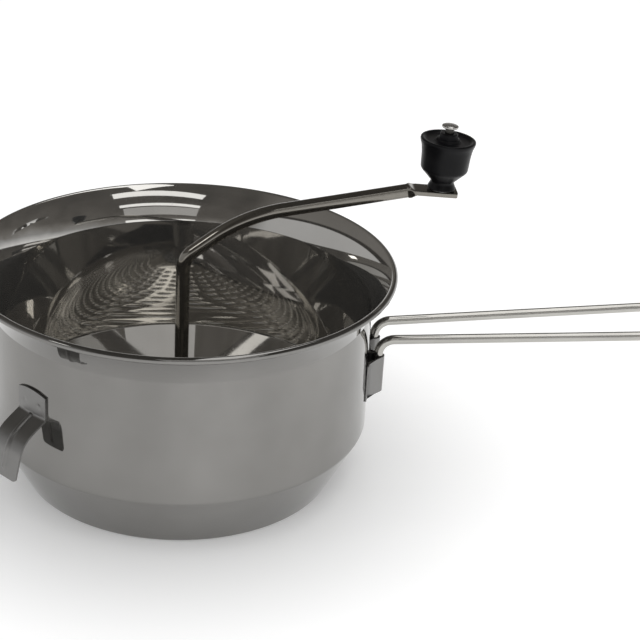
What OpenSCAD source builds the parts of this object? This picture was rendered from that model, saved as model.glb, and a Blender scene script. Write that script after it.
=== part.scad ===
// Hand-cranked food mill: a drawn bowl with a perforated cone in its foot, a helical
// pusher blade on a bent crank, a sprung scraper wire below, a wire handle and two pot hooks.
// Lengths are in millimetres. +Z is the crank's axis, z = 0 is the ring that the bowl stands
// on, and the handle lies along +X.

/* [Bowl] */
// Diameter over the rolled rim
rim_d = 245; // [225:1:265]
// Height over the rolled rim
bowl_h = 128.5; // [118:0.5:140]
// Radius of the rolled bead on the rim
bead_r = 2; // [1.6:0.1:2.6]
// How far the bead is rolled round
bead_turn = 280; // [200:5:290]
// Diameter of the wall at the neck, under the flared collar
neck_d = 218; // [212:0.5:224]
// Height of the flared collar, from the neck to the middle of the bead
collar_h = 18.8; // [14:0.2:24]
// How far the collar's lean at either end departs from its mean lean
collar_bow = 10; // [4:1:14]
// Radius of the crease at the neck
neck_r = 1.5; // [1:0.1:3]
// Diameter of the wall at the shoulder
shoulder_d = 220; // [214:0.5:226]
// Height of the shoulder above the foot
shoulder_h = 35.7; // [30:0.2:42]
// Radius of the bend at the shoulder
shoulder_r = 5; // [3:0.5:8]
// Diameter of the foot
foot_d = 186.5; // [176:0.5:196]
// Radius of the bend at the foot
foot_r = 2.4; // [1.8:0.1:4]
// Width of the hem turned in under the strainer
hem_w = 6; // [4:0.5:9]
// Thickness of the bowl's sheet
sheet_t = 0.7; // [0.5:0.05:1]

/* [Strainer] */
// Thickness of the strainer's sheet
strainer_t = 0.8; // [0.6:0.05:1]
// Height of the strainer's hub above the foot
hub_h = 30; // [27:0.5:36]
// Radius of the flat land round the hub
hub_land_r = 14; // [12:0.5:18]
// Width of the flat flange that lies on the hem
flange_w = 6.6; // [5:0.2:9]
// Diameter of a perforation
perf_d = 3.4; // [2:0.1:4]
// Spacing of the perforations
perf_pitch = 8.5; // [7:0.25:11]
// Plain margin left inside and outside the perforated band
perf_margin = 5; // [4:0.5:9]
// Clearance round the strainer's edge
strainer_gap = 0.05; // [0.02:0.01:0.2]

/* [Hub bush] */
// Radius of the bush's barrel
bush_r = 6.2; // [5.6:0.1:7]
// Radius of its upper flange
bush_flange_r = 11; // [9:0.5:11.5]
// Thickness of its upper flange
bush_flange_t = 1.2; // [0.8:0.1:2]
// Radius of the lip rolled over below the strainer
bush_lip_r = 8.2; // [7.4:0.1:9]
// Thickness of that lip
bush_lip_t = 1; // [0.6:0.1:1.6]
// Running clearance of the crank in the bush, on the radius
bush_gap = 0.08; // [0.02:0.01:0.1]

/* [Crank] */
// Diameter of the crank's rod
rod_d = 7.94; // [6.5:0.02:9]
// Height of the elbow above the foot
elbow_h = 129.5; // [120:0.5:145]
// Centreline radius of the elbow
elbow_r = 14; // [10:1:20]
// Distance of the second bend from the crank's axis
second_x = 34.8; // [30:0.2:48]
// Height of the second bend above the foot
second_h = 156.6; // [150:0.2:166]
// Centreline radius of the second bend
second_r = 90; // [40:5:105]
// Height of the arm's centreline where the round rod ends
arm_end_h = 174.1; // [168:0.1:180]
// Distance from the crank's axis to the knob's pin
throw = 144; // [140:0.2:156]
// Rise of the flattened end's top at the pin over the arm's end
eye_rise = 1.5; // [0:0.1:3]
// Length of the pressed slope between the round rod and the flattened end
swage_l = 5.2; // [4:0.2:8]
// Lean of the knob's pin away from the crank's axis
pin_lean = 3; // [0:0.5:8]
// Width of the flattened end
eye_w = 13; // [11:0.5:16]
// Thickness of the flattened end
eye_t = 2.8; // [2:0.1:4]
// Length of the flattened end on the axis side of the pin
eye_l = 14; // [11:0.5:16]
// Length of the flattened end past the pin
eye_tip = 9; // [8:0.25:11]
// Radius of the flattened end's corners
eye_corner_r = 1.6; // [0.4:0.2:4]
// Height at which the plain shaft ends and the thread starts
journal_end_h = 22.5; // [21:0.5:23.5]
// Diameter of the threaded end
thread_d = 6.35; // [5:0.05:6.5]
// Height of the thread's tip above the foot
thread_tip_h = 3.5; // [2:0.1:5]

/* [Pusher blade] */
// Thickness of the blade
blade_t = 1.2; // [0.8:0.1:1.6]
// Clearance between the blade's low edge and the strainer
blade_gap = 0.4; // [0.3:0.05:1]
// Angle from +X to the blade's low edge
blade_low_a = 125; // [0:5:360]
// Angle that the blade spans
blade_span = 180; // [150:5:200]
// Rise of the blade from its low edge to its high edge
blade_rise = 26; // [16:1:32]
// Part of the span over which the blade stays low
blade_flat = 0.08; // [0.04:0.01:0.2]
// Radius of the blade
blade_r = 83; // [76:0.5:84]
// Wall of the collar that is welded to the crank
collar_t = 2; // [1.5:0.1:3]
// Clearance between the collar and the bush
collar_gap = 0.4; // [0.3:0.05:1]
// Depth of the weld between blade and collar
weld_in = 0.25; // [0.1:0.05:0.5]

/* [Knob] */
// Greatest diameter of the knob
knob_d = 31.2; // [26:0.2:36]
// Diameter of the knob at its lower shoulder
knob_low_d = 26.6; // [22:0.2:30]
// Diameter of the knob's foot
knob_foot_d = 16.2; // [13:0.2:18]
// Diameter of the waist over the foot
knob_waist_d = 12.6; // [11:0.2:14]
// Height of the knob up to its rim
knob_h = 29.2; // [24:0.2:34]
// Height of the lower shoulder above the knob's foot
knob_shoulder_h = 11.4; // [9:0.2:14]
// Height of the waist above the knob's foot
knob_waist_h = 4.2; // [3:0.2:5.6]
// Depth of the dish in the knob's top
knob_dish = 2.2; // [1.6:0.2:6]
// Height of the middle boss over the rim
knob_boss_h = 3.2; // [1:0.2:5]
// Diameter of the top of the middle boss
knob_boss_d = 10.4; // [8:0.2:12]
// Diameter of the knob's pin
pin_d = 5; // [4:0.1:6]
// Diameter of the pin's head
pin_head_d = 9.4; // [7.5:0.1:12]
// Height of the pin's head
pin_head_h = 2; // [1.4:0.1:3]
// Bare shank between the boss and the pin's head
pin_bare = 3.2; // [1:0.1:4]
// Diameter of the riveted end below the flattened end
rivet_d = 7.4; // [6.5:0.1:10]
// Height of the riveted end
rivet_h = 1.2; // [0.8:0.1:2]
// Running clearance of the knob on its pin, on the radius
pin_gap = 0.08; // [0.02:0.01:0.1]
// Clearance under the knob
knob_gap = 0.3; // [0.2:0.05:0.6]
// Diameter of the washer under the knob
knob_washer_d = 11; // [9:0.2:12.5]
// Thickness of that washer
knob_washer_t = 0.7; // [0.5:0.1:1.2]

/* [Scraper and spring] */
// Diameter of the scraper's wire
scraper_d = 2; // [1.6:0.1:2.2]
// Width of the scraper's eye
scraper_eye_w = 3; // [2.4:0.1:4]
// Height of the scraper's eye
scraper_eye_h = 2.4; // [2.2:0.1:3]
// Reach of the scraper's arms
scraper_reach = 74; // [60:1:75]
// Clearance between the scraper and the strainer
scraper_gap = 0.35; // [0.3:0.05:1]
// Radius of the scraper's bends
scraper_bend_r = 8; // [4:0.5:12]
// Outer diameter of the thrust washer and of the spring's seats
seat_d = 18; // [17:0.2:20]
// Thickness of the thrust washer
thrust_t = 0.8; // [0.5:0.1:1.2]
// Clearance between the bush and the thrust washer
thrust_gap = 0.3; // [0.2:0.05:0.6]
// Clearance of washers and scraper on the shaft, on the radius
shaft_gap = 0.15; // [0.1:0.05:0.3]
// Thickness of the spring's cup
cup_t = 0.8; // [0.5:0.1:1.2]
// Depth of the cup's rim
cup_rim_h = 2; // [1:0.2:3]
// Fitted length of the spring
spring_l = 10; // [8:0.2:11]
// Diameter of the spring's wire
spring_wire_d = 1.2; // [1:0.1:1.4]
// Mean diameter of the spring
spring_d = 13.2; // [12.4:0.1:14]
// Working turns of the spring
spring_turns = 2.5; // [2:0.5:3]
// Thickness of the washer on the wing nut
nut_washer_t = 1.2; // [0.8:0.1:1.6]

/* [Wing nut] */
// Height of the nut's boss
nut_h = 7; // [5:0.2:7.4]
// Diameter of the nut's boss
nut_d = 12; // [10.4:0.2:14]
// Distance over the wings
wing_span = 30; // [24:0.5:36]
// Height of the wings
wing_h = 6.4; // [5:0.2:6.6]
// Thickness of the wings
wing_t = 2; // [1.4:0.1:3]
// Clearance of the nut on the thread, on the radius
thread_gap = 0.06; // [0.02:0.01:0.1]

/* [Handle] */
// Diameter of the handle's wire
handle_wire_d = 5.5; // [4.5:0.1:6.5]
// Distance from the crank's axis to the end of the handle
handle_reach = 295; // [240:1:330]
// Half the distance between the two wires at the bracket
handle_half_low = 12.2; // [10.5:0.2:15]
// Half the distance between the two wires at the far end
handle_half_far = 20; // [17:0.5:26]
// Height of the corner where each wire leaves the bracket
handle_h = 86; // [82:0.5:92]
// Height of the handle's far end
handle_far_h = 96.2; // [88:0.2:110]
// Centreline radius of the bend at the bracket
handle_bend_r = 9.4; // [7:0.2:9.4]
// Centreline radius of the bends at the far end
handle_end_r = 17; // [14:0.5:17]
// Clearance between the wire and the bowl's wall
handle_wall_gap = 2.3; // [0.8:0.1:3]

/* [Handle bracket] */
// Height of the bracket's lower edge above the foot
bracket_low_h = 53.5; // [46:0.5:58]
// Height of the bracket's upper edge above the foot
bracket_top_h = 76.2; // [70:0.2:76.4]
// Thickness of the bracket
bracket_t = 0.9; // [0.7:0.05:1.2]
// Width of each welded flange
bracket_flange_w = 6; // [4:0.5:9]
// Slope of the bracket's outer sides, from the line square to the wall
bracket_flare = 42; // [28:1:48]
// Clearance between the bracket and the wire
bracket_gap = 0.04; // [0.02:0.01:0.1]

/* [Pot hooks] */
// Angle of each hook from the line opposite the handle
hook_a = 44; // [34:1:56]
// Width of a hook
hook_w = 22; // [16:0.5:28]
// Thickness of a hook
hook_t = 1.1; // [0.8:0.05:1.6]
// Height of the hook's plate over its bend
hook_plate_h = 15.6; // [12:0.2:20]
// Drop of the plate's upper corners below the middle of its arched top
hook_arch = 2; // [1:0.5:4]
// Height of the bend above the foot
hook_bend_h = 70; // [64:0.5:76]
// Reach of the knee from the wall
hook_knee = 15.5; // [12:0.5:22]
// Drop of the knee below the bend
hook_knee_drop = 9; // [6:0.5:14]
// Reach of the tip from the wall
hook_tip = 21; // [16:0.5:28]
// Drop of the tip below the bend
hook_tip_drop = 29.4; // [22:0.2:36]
// Radius of the hook's bend at the wall
hook_bend_r = 3; // [2:0.5:5]
// Radius of the hook's knee
hook_knee_r = 13; // [8:1:16]

/* [Hidden] */
$fn = 96;
steel = "silver";

rod_r = rod_d / 2;
thread_r = thread_d / 2;
neck_h = bowl_h - bead_r - collar_h;
wall_lean = atan((shoulder_d - neck_d) / 2 / (neck_h - shoulder_h));

// Two circles joined by their outer tangent: the direction of the tangent's normal
function tangent_a(c1, r1, c2, r2) =
    atan2(c2.y - c1.y, c2.x - c1.x) - acos((r1 - r2) / norm(c2 - c1));

foot_c = [foot_d / 2 - foot_r, foot_r];
shoulder_c = [shoulder_d / 2 - shoulder_r, shoulder_h];
skirt_a = tangent_a(foot_c, foot_r, shoulder_c, shoulder_r);

// The bowl's outside radius at height z on its straight wall, and its widest between two heights
function wall_r(z) = shoulder_d / 2 - (z - shoulder_h) * tan(wall_lean);
function widest_r(low, high) = max(wall_r(low), wall_r(high));

// The strainer is a flat land, a cone and a flat flange
flange_h = sheet_t + strainer_t;
strainer_r = foot_c.x - strainer_gap;
cone_r = strainer_r - flange_w;
cone_slope = atan((hub_h - flange_h) / (cone_r - hub_land_r));
function cone_h(r) = hub_h - max(0, min(r, cone_r) - hub_land_r) * tan(cone_slope);

// Heights down the shaft below the bush
bush_top_h = hub_h + bush_flange_t;
bush_low_h = hub_h - strainer_t - bush_lip_t;
thrust_top_h = bush_low_h - thrust_gap;
eye_top_h = thrust_top_h - thrust_t;
cup_top_h = eye_top_h - scraper_eye_h;
spring_top_h = cup_top_h - cup_t;
spring_low_h = spring_top_h - spring_l;
nut_top_h = spring_low_h - nut_washer_t;
seat_r = seat_d / 2;

// Heights on the knob's own axis, from the top of the crank's flattened end
knob_foot = knob_washer_t + knob_gap;
pin_head_low = knob_foot + knob_h + knob_boss_h + pin_bare;

// Handle wires and bracket
wire_r = handle_wire_d / 2;
wire_x = sqrt(pow(widest_r(bracket_low_h, handle_h) + handle_wall_gap + wire_r, 2) - pow(handle_half_low, 2));

// Points and paths in a plane
function unit(a) = [cos(a), sin(a)];
function dir(v) = v / norm(v);
function arc(c, r, a0, a1, n = 12) = [for (i = [0:n]) c + r * unit(a0 + (a1 - a0) * i / n)];
function curve(p, q, s, n = 12) =
    [for (i = [0:n]) let (t = i / n) (1 - t) * (1 - t) * p + 2 * t * (1 - t) * q + t * t * s];
// Where the line from p along u meets the line from q along v
function meet(p, u, q, v) = p + u * cross(q - p, v) / cross(u, v);
// A corner rounded by an arc that touches both of its sides
function rounded(a, b, c, r, n = 10) =
    let (u = dir(a - b), v = dir(c - b), half = acos(u * v) / 2, m = b + dir(u + v) * r / sin(half),
        s = b + u * r / tan(half) - m, turn = (cross(c - b, b - a) > 0 ? -1 : 1) * (180 - 2 * half),
        a0 = atan2(s.y, s.x))
    arc(m, r, a0, a0 + turn, n);
// The step to the right of a path, long enough to keep its thickness at a corner
function right_step(path, i) =
    let (last = len(path) - 1, u = dir(path[min(i + 1, last)] - path[min(i, last - 1)]),
        v = i == 0 ? u : dir(path[i] - path[i - 1]), m = [u.y + v.y, -u.x - v.x])
    2 * m / (m * m);
// The outline of a sheet of thickness t that lies to the right of a path
function sheet(path, t) =
    concat(path, [for (i = [len(path) - 1:-1:0]) path[i] + t * right_step(path, i)]);

// The inside of the bowl from the hem to the end of the rolled bead, as radius and height
bead_c = [rim_d / 2 - bead_r, bowl_h - bead_r];
neck_p = [neck_d / 2 - sheet_t, neck_h];
collar_a = atan((bead_c.x - bead_r - neck_p.x) / collar_h);
collar_top_a = collar_a + collar_bow;
collar_top = bead_c + bead_r * unit(180 - collar_top_a);
collar_mid = meet(neck_p, unit(90 - collar_a + collar_bow), collar_top, unit(90 - collar_top_a));
wall_p = shoulder_c + (shoulder_r - sheet_t) * unit(wall_lean);
neck_steps = 4;
neck_bend = rounded(wall_p, neck_p, collar_mid, neck_r, neck_steps);
bowl_path = concat(
    [[foot_d / 2 - foot_r - hem_w, sheet_t]],
    arc(foot_c, foot_r - sheet_t, -90, skirt_a, 6),
    arc(shoulder_c, shoulder_r - sheet_t, skirt_a, wall_lean, 8),
    [for (i = [0:neck_steps - 1]) neck_bend[i]],
    curve(neck_bend[neck_steps], collar_mid, collar_top, 10),
    arc(bead_c, bead_r, 179 - collar_top_a, 180 - collar_top_a - bead_turn, 24));

// A rod through a list of points in space, each inner point rounded with its own radius
bend_swell = 0.03;
bend_lap = 0.4;
function turn_at(p, i) = acos(dir(p[i] - p[i - 1]) * dir(p[i + 1] - p[i]));
function trim(p, r, i) = i == 0 || i == len(p) - 1 ? 0 : r[i] * tan(turn_at(p, i) / 2);
function euler(e1, e2, n) = abs(e1.z) > 0.9999
    ? [0, e1.z > 0 ? -90 : 90, atan2(-e2.x, e2.y)]
    : [atan2(e2.z, n.z), -asin(e1.z), atan2(e1.y, e1.x)];

// Its bends are a hair fuller than its straights, which run a little way into them
module bent_rod(p, bends, r) {
    for (i = [0:len(p) - 2]) {
        u = dir(p[i + 1] - p[i]);
        from = max(0, trim(p, bends, i) - bend_lap);
        to = max(0, trim(p, bends, i + 1) - bend_lap);
        translate(p[i] + u * from)
            rotate([0, acos(u.z), atan2(u.y, u.x)])
                cylinder(h = norm(p[i + 1] - p[i]) - from - to, r = r);
    }
    for (i = [1:len(p) - 2]) {
        u = dir(p[i] - p[i - 1]);
        v = dir(p[i + 1] - p[i]);
        turn = turn_at(p, i);
        c = p[i] + dir(v - u) * bends[i] / cos(turn / 2);
        e1 = dir(p[i] - u * trim(p, bends, i) - c);
        translate(c)
            rotate(euler(e1, u, cross(e1, u)))
                rotate_extrude(angle = turn)
                    translate([bends[i], 0])
                        circle(r = r + bend_swell);
    }
}

// A flat ring between two radii, standing on height z
module ring(r_out, r_in, h, z) {
    translate([0, 0, z])
        difference() {
            cylinder(h = h, r = r_out);
            translate([0, 0, -1])
                cylinder(h = h + 2, r = r_in);
        }
}

module bowl() {
    color(steel)
        rotate_extrude($fn = 180)
            polygon(sheet(bowl_path, sheet_t));
}

module strainer() {
    color(steel)
        difference() {
            rotate_extrude($fn = 180)
                polygon(sheet([[bush_r + strainer_gap, hub_h], [hub_land_r, hub_h],
                    [cone_r, flange_h], [strainer_r, flange_h]], strainer_t));
            for (r = [hub_land_r + perf_margin:perf_pitch * cos(cone_slope):cone_r - perf_margin]) {
                count = floor(360 * r * PI / 180 / perf_pitch);
                for (k = [0:count - 1])
                    rotate([0, 0, 360 * k / count])
                        translate([r, 0, cone_h(r)])
                            rotate([0, cone_slope, 0])
                                cylinder(h = 6 * strainer_t, r = perf_d / 2, center = true, $fn = 16);
            }
        }
}

module hub_bush() {
    bore = rod_r + bush_gap;
    color("gainsboro")
        rotate_extrude()
            polygon([[bore, bush_low_h], [bush_lip_r, bush_low_h], [bush_lip_r, hub_h - strainer_t],
                [bush_r, hub_h - strainer_t], [bush_r, hub_h], [bush_flange_r, hub_h],
                [bush_flange_r, bush_top_h], [bore, bush_top_h]]);
}

eye_h = arm_end_h + eye_rise;
arm_end_x = on_eye(-eye_l, 0).x - swage_l;

// Puts its children on the knob's axis, with z = 0 on the crank's flattened end
module on_pin() {
    translate([throw, 0, eye_h])
        rotate([0, pin_lean, 0])
            children();
}

// A point of the flattened end's own x-z plane, put into the crank's x-z plane
function on_eye(x, z) = [throw + x * cos(pin_lean) + z * sin(pin_lean),
    eye_h - x * sin(pin_lean) + z * cos(pin_lean)];

// The rod pressed flat at its end: a widening cone cut by an upper and a lower slope
module swage() {
    arm_a = atan2(arm_end_h - second_h, arm_end_x - second_x);
    from = [arm_end_x, arm_end_h] - bend_lap * unit(arm_a);
    long = norm(on_eye(-eye_l, -eye_t / 2) - from);
    r_from = rod_r + bend_swell;
    r_to = norm([eye_w, eye_t]) / 2 + bend_lap;
    past = eye_t / 2;
    up = (rod_r + bend_lap) * unit(arm_a + 90);
    intersection() {
        translate([from.x, 0, from.y])
            rotate([0, 90 - arm_a, 0])
                cylinder(h = long + past, r1 = r_from, r2 = r_from + (r_to - r_from) * (long + past) / long);
        translate([0, eye_w, 0])
            rotate([90, 0, 0])
                linear_extrude(2 * eye_w)
                    polygon([from + up, on_eye(-eye_l, bend_swell), on_eye(-eye_l, -eye_t - bend_swell),
                        from - up]);
    }
}

module crank_rod() {
    shaft = [[0, 0, journal_end_h], [0, 0, elbow_h], [second_x, 0, second_h], [arm_end_x, 0, arm_end_h]];
    near_right = [-eye_l - bend_lap, -eye_w / 2];
    near_left = [-eye_l - bend_lap, eye_w / 2];
    far_right = [eye_tip, -eye_w / 2];
    far_left = [eye_tip, eye_w / 2];
    color(steel) {
        bent_rod(shaft, [0, elbow_r, second_r, 0], rod_r);
        translate([0, 0, thread_tip_h])
            cylinder(h = journal_end_h - thread_tip_h, r = thread_r);
        swage();
        on_pin()
            difference() {
                translate([0, 0, -eye_t])
                    linear_extrude(eye_t)
                        polygon(concat([near_right], rounded(near_right, far_right, far_left, eye_corner_r, 6),
                            rounded(far_right, far_left, near_left, eye_corner_r, 6), [near_left]));
                translate([0, 0, -eye_t - 1])
                    cylinder(h = eye_t + 2, r = pin_d / 2 + pin_gap);
            }
    }
}

// The blade is a ramp that clears the bush, follows the cone and climbs round the shaft
module pusher_blade() {
    steps = 30;
    rings = 7;
    radii = concat([rod_r + collar_t - weld_in, bush_flange_r + blade_gap],
        [for (j = [0:rings]) hub_land_r + (blade_r - hub_land_r) * j / rings]);
    function floor_h(r) = r < hub_land_r ? bush_top_h : cone_h(r);
    function climb(s) = blade_rise * max(0, s - blade_flat) / (1 - blade_flat);
    function blade_p(s, r, up) =
        let (a = blade_low_a + blade_span * s)
        [r * cos(a), r * sin(a), floor_h(r) + blade_gap + climb(s) + up];
    row = len(radii);
    layer = (steps + 1) * row;
    points = [for (up = [0, blade_t]) for (i = [0:steps]) for (r = radii) blade_p(i / steps, r, up)];
    function split(f) = [[f[0], f[1], f[2]], [f[0], f[2], f[3]]];
    low = [for (i = [0:steps - 1]) for (j = [0:row - 2])
        let (b = i * row + j) [b, b + 1, b + 1 + row, b + row]];
    top = [for (f = low) [f[3] + layer, f[2] + layer, f[1] + layer, f[0] + layer]];
    ends = [for (j = [0:row - 2]) for (b = [j, steps * row + j])
        b == j ? [b + 1, b, b + layer, b + 1 + layer] : [b, b + 1, b + 1 + layer, b + layer]];
    sides = [for (i = [0:steps - 1]) for (b = [i * row, i * row + row - 1])
        b == i * row ? [b, b + row, b + row + layer, b + layer] : [b + row, b, b + layer, b + row + layer]];
    color(steel)
        polyhedron(points, [for (f = concat(low, top, ends, sides)) each split(f)]);
}

module blade_collar() {
    color(steel)
        ring(rod_r + collar_t, rod_r + bush_gap, blade_rise + blade_t, bush_top_h + collar_gap);
}

// A bell on a waisted foot, its side flaring to the rim, with a dish and a stepped boss in its top
module knob() {
    r = knob_d / 2;
    r_low = knob_low_d / 2;
    r_foot = knob_foot_d / 2;
    r_waist = knob_waist_d / 2;
    r_boss = knob_boss_d / 2;
    bore = pin_d / 2 + pin_gap;
    foot_edge = 0.6;
    waist_bend_r = 1.2;
    shoulder_bend_r = 2.2;
    edge_r = 1;
    boss_edge = 0.6;
    step_w = 1.4;
    flare = r - r_low;
    side_h = knob_h - knob_shoulder_h;
    waist = [r_waist, knob_waist_h];
    cone_foot = [r_waist, knob_waist_h + waist_bend_r];
    shoulder = [r_low, knob_shoulder_h];
    mid = [r_low + flare / 4, knob_h - side_h / 2];
    dish_h = knob_h - knob_dish;
    boss_top = knob_h + knob_boss_h;
    color("dimgray")
        on_pin()
            translate([0, 0, knob_foot])
                rotate_extrude()
                    polygon(concat(
                        [[bore, 0], [r_foot, 0]],
                        curve([r_foot, foot_edge], [r_waist, knob_waist_h / 3], waist, 5),
                        rounded(waist, cone_foot, shoulder, waist_bend_r, 3),
                        rounded(cone_foot, shoulder, mid, shoulder_bend_r, 6),
                        curve(mid, [r_low + flare / 3, knob_h - side_h / 4],
                            [r - edge_r / 8, knob_h - 2 * edge_r], 6),
                        arc([r - edge_r, knob_h - edge_r], edge_r, 0, 90, 6),
                        [[r - 2 * edge_r, knob_h - edge_r / 4],
                            [r - 3.5 * edge_r, dish_h + edge_r / 4],
                            [r_boss + 2 * step_w, dish_h],
                            [r_boss + step_w, dish_h + edge_r / 2],
                            [r_boss + step_w * 0.8, knob_h],
                            [r_boss, knob_h + edge_r / 4],
                            [r_boss - boss_edge / 2, boss_top - boss_edge],
                            [r_boss - 1.5 * boss_edge, boss_top],
                            [bore, boss_top]]));
}

// A rivet with a low domed head, its other end spread under the crank's flattened end
module knob_pin() {
    r_head = pin_head_d / 2;
    r_rivet = rivet_d / 2;
    rivet_low = -eye_t - rivet_h;
    head_edge = 0.4;
    rim_h = pin_head_low + pin_head_h / 2;
    color("gainsboro")
        on_pin()
            rotate_extrude()
                polygon(concat(
                    [[0, rivet_low], [r_rivet - rivet_h / 2, rivet_low],
                        [r_rivet, rivet_low + rivet_h / 2], [r_rivet, -eye_t], [pin_d / 2, -eye_t],
                        [pin_d / 2, pin_head_low], [r_head - head_edge, pin_head_low],
                        [r_head, pin_head_low + head_edge], [r_head, rim_h]],
                    [for (k = [1:5]) [r_head * (1 - k / 5), rim_h + pin_head_h / 2 * sin(18 * k)]]));
}

module knob_washer() {
    color("gainsboro")
        on_pin()
            ring(knob_washer_d / 2, pin_d / 2 + pin_gap, knob_washer_t, 0);
}

module thrust_washer() {
    color("gainsboro")
        ring(seat_r, rod_r + shaft_gap, thrust_t, eye_top_h);
}

module scraper_wire() {
    r = scraper_d / 2;
    eye_r = rod_r + shaft_gap + scraper_eye_w;
    eye_z = eye_top_h - scraper_eye_h / 2;
    // Height of the wire's centreline where it runs below the cone
    function under(x) = cone_h(x) - (strainer_t + scraper_gap + r) / cos(cone_slope);
    knee_x = hub_land_r + (under(hub_land_r) - eye_z) / tan(cone_slope);
    color("gainsboro") {
        ring(eye_r, rod_r + shaft_gap, scraper_eye_h, eye_top_h - scraper_eye_h);
        for (side = [0, 180])
            rotate([0, 0, side])
                bent_rod([[eye_r - r, 0, eye_z], [knee_x, 0, eye_z],
                    [scraper_reach, 0, under(scraper_reach)]], [0, scraper_bend_r, 0], r);
    }
}

module spring_cup() {
    bore = rod_r + shaft_gap;
    color("gainsboro")
        rotate_extrude()
            polygon([[bore, spring_top_h], [seat_r - cup_t, spring_top_h],
                [seat_r - cup_t, spring_top_h - cup_rim_h], [seat_r, spring_top_h - cup_rim_h],
                [seat_r, cup_top_h], [bore, cup_top_h]]);
}

// A coil with a closed dead turn at each end
module tension_spring() {
    per_turn = 16;
    sides = 8;
    turns = spring_turns + 2;
    steps = turns * per_turn;
    r = spring_wire_d / 2;
    dead_pitch = spring_wire_d * 1.05;
    pitch = (spring_l - spring_wire_d - 2 * dead_pitch) / spring_turns;
    function coil_z(t) = spring_low_h + r + dead_pitch * (min(t, 1) + max(0, t - turns + 1))
        + pitch * max(0, min(t, turns - 1) - 1);
    points = [for (i = [0:steps]) for (k = [0:sides - 1])
        let (t = i / per_turn, a = 360 * k / sides, d = spring_d / 2 + r * cos(a))
        [d * cos(360 * t), d * sin(360 * t), coil_z(t) + r * sin(a)]];
    walls = [for (i = [0:steps - 1]) for (k = [0:sides - 1])
        let (n = (k + 1) % sides)
        [i * sides + k, i * sides + n, (i + 1) * sides + n, (i + 1) * sides + k]];
    color("gray")
        polyhedron(points, concat(walls,
            [[for (k = [sides - 1:-1:0]) k], [for (k = [0:sides - 1]) steps * sides + k]]));
}

module nut_washer() {
    color("gainsboro")
        ring(seat_r, thread_r + shaft_gap, nut_washer_t, nut_top_h);
}

// A round boss with two ears of one thickness
module wing_nut() {
    boss_low = nut_top_h - nut_h;
    ear_r = wing_h / 2;
    ear_x = wing_span / 2 - ear_r;
    web_h = wing_h * 0.7;
    color("gainsboro")
        difference() {
            union() {
                translate([0, 0, boss_low])
                    cylinder(h = nut_h, r = nut_d / 2);
                for (side = [-1, 1])
                    translate([side * ear_x, wing_t / 2, boss_low + ear_r])
                        rotate([90, 0, 0])
                            cylinder(h = wing_t, r = ear_r);
                translate([-ear_x, -wing_t / 2, boss_low + (wing_h - web_h) / 2])
                    cube([2 * ear_x, wing_t, web_h]);
            }
            translate([0, 0, boss_low - 1])
                cylinder(h = nut_h + 2, r = thread_r + thread_gap);
        }
}

module handle_loop() {
    far_x = handle_reach - wire_r;
    low = bracket_low_h + 2;
    half = handle_half_low;
    far = handle_half_far;
    color(steel)
        bent_rod([[wire_x, -half, low], [wire_x, -half, handle_h], [far_x, -far, handle_far_h],
            [far_x, far, handle_far_h], [wire_x, half, handle_h], [wire_x, half, low]],
            [0, handle_bend_r, handle_end_r, handle_end_r, handle_bend_r, 0], wire_r);
}

// One strap, pressed to the wall in the middle and at its ends and bowed out over the wires
module handle_bracket() {
    wall = widest_r(bracket_low_h, bracket_top_h);
    round_r = wire_r + bracket_gap;
    c = [wire_x, handle_half_low];
    // The outer side leaves the round here and runs straight to the wall
    leave_a = 90 - bracket_flare;
    leave = c + round_r * unit(leave_a);
    leave_u = unit(leave_a + 90);
    along = leave * leave_u;
    land = leave - leave_u * (along + sqrt(along * along - leave * leave + wall * wall));
    land_a = atan2(land.y, land.x);
    flange_a = bracket_flange_w / wall * 180 / PI;
    inner_a = asin((handle_half_low - round_r) / wall);
    half_path = concat(
        arc([0, 0], wall, 0, inner_a, 6),
        arc(c, round_r, -90, leave_a, 20),
        arc([0, 0], wall, land_a, land_a + flange_a, 5));
    full_path = concat([for (i = [len(half_path) - 1:-1:1]) [half_path[i].x, -half_path[i].y]], half_path);
    color(steel)
        translate([0, 0, bracket_low_h])
            linear_extrude(bracket_top_h - bracket_low_h)
                polygon(sheet(full_path, bracket_t));
}

// A strip bent to its side outline, which lies in the x-z plane, and trimmed to its front outline
module hook(side) {
    plate_top = hook_bend_h + hook_plate_h;
    wall = widest_r(hook_bend_h, plate_top);
    top = [wall, plate_top];
    foot = [wall, hook_bend_h];
    knee = foot + [hook_knee, -hook_knee_drop];
    tip = foot + [hook_tip, -hook_tip_drop];
    path = concat([tip], rounded(tip, knee, foot, hook_knee_r, 10), rounded(knee, foot, top, hook_bend_r, 6),
        [top]);
    half_w = hook_w / 2;
    arch_r = (half_w * half_w + hook_arch * hook_arch) / (2 * hook_arch);
    arch_a = acos(half_w / arch_r);
    spare = 2;
    color(steel)
        rotate([0, 0, 180 + side * hook_a])
            intersection() {
                translate([0, half_w + spare, 0])
                    rotate([90, 0, 0])
                        linear_extrude(hook_w + 2 * spare)
                            polygon(sheet(path, hook_t));
                translate([wall - spare, 0, 0])
                    rotate([90, 0, 90])
                        linear_extrude(hook_tip + 3 * spare)
                            polygon(concat([[-half_w, tip.y - spare], [half_w, tip.y - spare]],
                                arc([0, plate_top - arch_r], arch_r, arch_a, 180 - arch_a, 16)));
            }
}

module hook_front() hook(1);

module hook_rear() hook(-1);

bowl();
strainer();
hub_bush();
crank_rod();
pusher_blade();
blade_collar();
knob();
knob_pin();
knob_washer();
thrust_washer();
scraper_wire();
spring_cup();
tension_spring();
nut_washer();
wing_nut();
handle_loop();
handle_bracket();
hook_front();
hook_rear();
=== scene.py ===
import math

import bmesh
import bpy
import numpy as np
from mathutils import Matrix, Vector


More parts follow.
